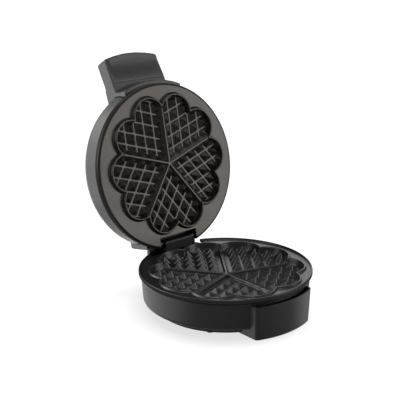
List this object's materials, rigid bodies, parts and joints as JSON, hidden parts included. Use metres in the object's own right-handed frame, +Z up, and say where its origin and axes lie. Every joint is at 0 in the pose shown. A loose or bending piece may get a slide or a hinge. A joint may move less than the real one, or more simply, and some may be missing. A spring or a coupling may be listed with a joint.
{
  "type": "waffle maker",
  "caption": "Electric waffle maker with round heart-pattern baking plates, a hinged lid with a paddle handle, shown open on its stop, and a pocket at the front of the base.",
  "frame": {"origin": "on the floor plane under the middle of the open object's bounding box", "axes": "+Z up, -Y towards the handle and front pocket, +Y towards the hinge, +X along the hinge pin"},
  "size_m": [0.208, 0.3069, 0.2878],
  "materials": {
    "housing_plastic": "satin black moulded plastic",
    "lower_plate_coating": "cast, dark non-stick coating, semi-gloss",
    "upper_plate_coating": "cast, dark grey non-stick coating, semi-gloss",
    "plated_steel": "zinc plated",
    "black_steel": "blackened",
    "heater_tube": "heat-darkened",
    "shield_sheet": "mill",
    "rubber": "matte",
    "thermostat_case": "moulded",
    "fuse_case": "plain",
    "terminal_ceramic": "glazed white",
    "sleeved_wire": "glass-fibre sleeve",
    "red_lens": "clear coloured",
    "green_lens": "clear coloured",
    "lamp_glass": "clear"
  },
  "bodies": {
    "base": {"base_shell": "housing_plastic", "bottom_cover": "housing_plastic", "rubber_feet": "rubber", "bottom_screws": "plated_steel", "lower_plate": "lower_plate_coating", "lower_plate_screws": "plated_steel", "lower_heating_element": "heater_tube", "lower_element_clamps": "plated_steel", "lower_clamp_screws": "plated_steel", "lower_heat_shield": "shield_sheet", "lower_shield_screws": "plated_steel", "thermostat": "thermostat_case", "thermal_fuse": "fuse_case", "terminal_block": "terminal_ceramic", "base_wiring": "sleeved_wire", "cord_grommet": "rubber", "hinge_bracket": "housing_plastic", "hinge_bracket_screws": "plated_steel", "hinge_pin": "black_steel", "hinge_pin_clip": "black_steel"},
    "lid": {"lid_frame": "housing_plastic", "lid_top_panel": "housing_plastic", "lid_handle": "housing_plastic", "handle_screws": "plated_steel", "upper_plate": "upper_plate_coating", "upper_plate_screws": "plated_steel", "upper_heating_element": "heater_tube", "upper_element_clamps": "plated_steel", "upper_clamp_screws": "plated_steel", "upper_heat_shield": "shield_sheet", "upper_shield_screws": "plated_steel", "lid_hinge_bracket": "black_steel", "lid_bracket_screws": "black_steel", "power_light_lens": "red_lens", "ready_light_lens": "green_lens", "indicator_lamps": "lamp_glass", "lid_wiring": "sleeved_wire"}
  },
  "joints": [
    {"name": "lid_hinge", "type": "hinge", "parent": "base", "child": "lid", "pos_m": [0, 0.04994, 0.0582], "axis": [1, 0, 0], "range_deg": [0, 101.5]}
  ]
}
